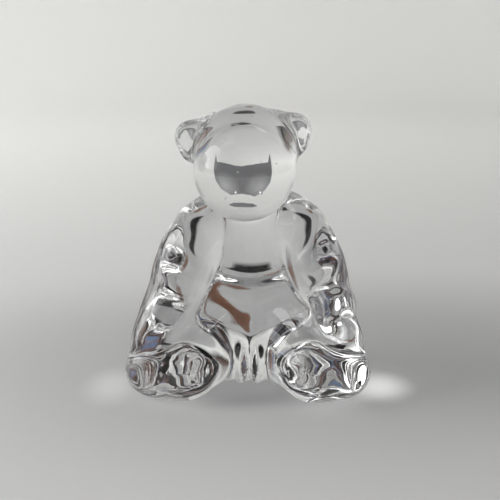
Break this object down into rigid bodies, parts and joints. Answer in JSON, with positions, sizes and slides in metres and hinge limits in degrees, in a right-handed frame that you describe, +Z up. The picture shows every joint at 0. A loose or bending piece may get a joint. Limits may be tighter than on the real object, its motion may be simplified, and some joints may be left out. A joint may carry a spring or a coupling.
{
  "type": "crystal bear figurine",
  "caption": "Seated bear figurine in solid clear crystal glass: smooth egg-shaped head, hollowed ears, curved arms on splayed legs, flat ground base.",
  "frame": {"origin": "on the flat ground base, midway between the hips and just in front of the body's centre", "axes": "+Z up, -Y the way the bear faces, +X towards the bear's own left"},
  "size_m": [0.07, 0.0548, 0.08],
  "materials": {
    "crystal": "clear, fire-polished lead crystal"
  },
  "bodies": {
    "root": {"torso": "crystal", "seat": "crystal", "head": "crystal", "ear_left": "crystal", "ear_right": "crystal", "arm_left": "crystal", "arm_right": "crystal", "paw_left": "crystal", "paw_right": "crystal", "leg_left": "crystal", "leg_right": "crystal", "foot_left": "crystal", "foot_right": "crystal"}
  },
  "joints": []
}
